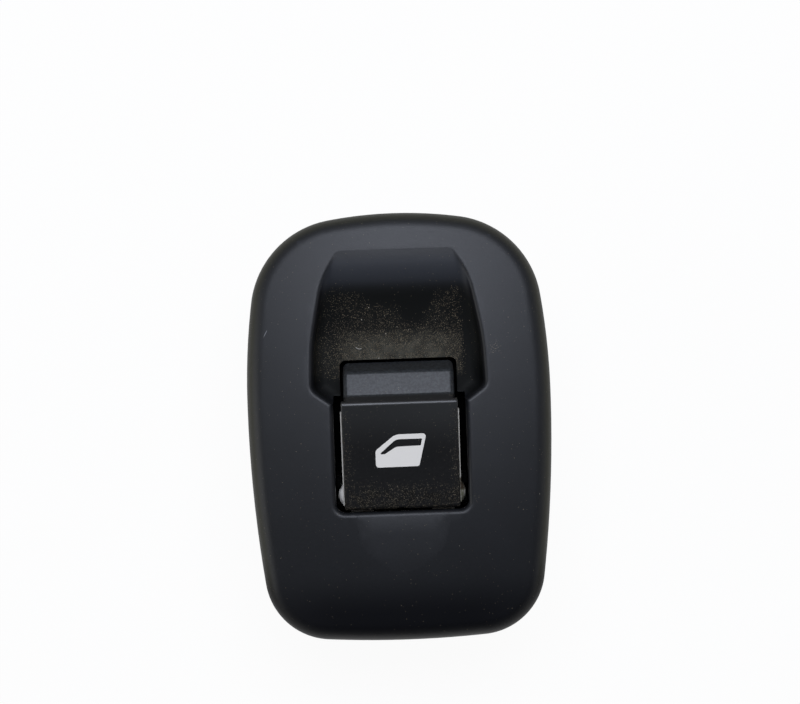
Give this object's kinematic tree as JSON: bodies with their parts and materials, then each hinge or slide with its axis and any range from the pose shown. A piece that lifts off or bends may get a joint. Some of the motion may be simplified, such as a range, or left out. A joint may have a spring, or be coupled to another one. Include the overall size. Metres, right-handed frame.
{
  "type": "power window switch",
  "caption": "Rocker switch in a crowned oval-cornered bezel with a finger scoop, pressed or pulled to lower or raise a car window; switch module and plug socket behind.",
  "frame": {"origin": "under the middle of the bezel, on the plane of the plug socket's mouth", "axes": "+X across the bezel, +Y along it from the rocker towards the finger scoop, +Z out of its face"},
  "size_m": [0.06, 0.0844, 0.038],
  "materials": {
    "bezel_plastic": "fine grained moulding",
    "rocker_black": "soft matt",
    "rocker_white": "smooth",
    "housing_plastic": "satin moulding",
    "cover_plastic": "satin moulding",
    "board_laminate": "solder resist",
    "silicone_mat": "matt silicone",
    "clear_acrylic": "clear",
    "lamp_body": "white reflector with yellow lens",
    "capacitor_ceramic": "tan ceramic",
    "diode_epoxy": "matt",
    "zinc_steel": "zinc plated",
    "spring_steel": "bare spring steel",
    "tinned_brass": "tinned",
    "resistor_ceramic": "black with tinned ends",
    "plunger_plastic": "smooth natural",
    "carbon_rubber": "matt carbon"
  },
  "bodies": {
    "module": {"bezel": "bezel_plastic", "switch_housing": "housing_plastic", "base_cover": "cover_plastic", "circuit_board": "board_laminate", "dome_mat": "silicone_mat", "light_pipe": "clear_acrylic", "backlight_led": "lamp_body", "chip_capacitor": "capacitor_ceramic", "surge_diode": "diode_epoxy", "bezel_screws": "zinc_steel", "panel_clip_upper": "spring_steel", "panel_clip_lower": "spring_steel", "terminal_pin_1": "tinned_brass", "terminal_pin_2": "tinned_brass", "terminal_pin_3": "tinned_brass", "terminal_pin_4": "tinned_brass", "terminal_pin_5": "tinned_brass", "terminal_pin_6": "tinned_brass", "chip_resistor_1": "resistor_ceramic", "chip_resistor_2": "resistor_ceramic", "chip_resistor_3": "resistor_ceramic", "chip_resistor_4": "resistor_ceramic"},
    "rocker": {"rocker_cap": "rocker_black", "rocker_core": "rocker_white"},
    "down_left_plunger": {"plunger_down_left": "plunger_plastic", "contact_pill_down_left": "carbon_rubber"},
    "down_right_plunger": {"plunger_down_right": "plunger_plastic", "contact_pill_down_right": "carbon_rubber"},
    "up_left_plunger": {"plunger_up_left": "plunger_plastic", "contact_pill_up_left": "carbon_rubber"},
    "up_right_plunger": {"plunger_up_right": "plunger_plastic", "contact_pill_up_right": "carbon_rubber"}
  },
  "joints": [
    {"name": "rocker_tilt", "type": "hinge", "parent": "module", "child": "rocker", "pos_m": [0, -0.013, 0.0315], "axis": [1, 0, 0], "range_deg": [-7, 7], "stiffness_Nm_per_rad": 0.3, "deforming": ["dome_mat"]},
    {"name": "down_left_plunger_slide", "type": "slide", "parent": "module", "child": "down_left_plunger", "axis": [0, 0, 1], "range_m": [-0.0012, 0.0012]},
    {"name": "down_right_plunger_slide", "type": "slide", "parent": "module", "child": "down_right_plunger", "axis": [0, 0, 1], "range_m": [-0.0012, 0.0012]},
    {"name": "up_left_plunger_slide", "type": "slide", "parent": "module", "child": "up_left_plunger", "axis": [0, 0, 1], "range_m": [-0.0012, 0.0012]},
    {"name": "up_right_plunger_slide", "type": "slide", "parent": "module", "child": "up_right_plunger", "axis": [0, 0, 1], "range_m": [-0.0012, 0.0012]}
  ],
  "couplings": [
    {"joint": "down_left_plunger_slide", "follows": "rocker_tilt", "m_per_rad": 0.009},
    {"joint": "down_right_plunger_slide", "follows": "rocker_tilt", "m_per_rad": 0.009},
    {"joint": "up_left_plunger_slide", "follows": "rocker_tilt", "m_per_rad": -0.009},
    {"joint": "up_right_plunger_slide", "follows": "rocker_tilt", "m_per_rad": -0.009}
  ]
}
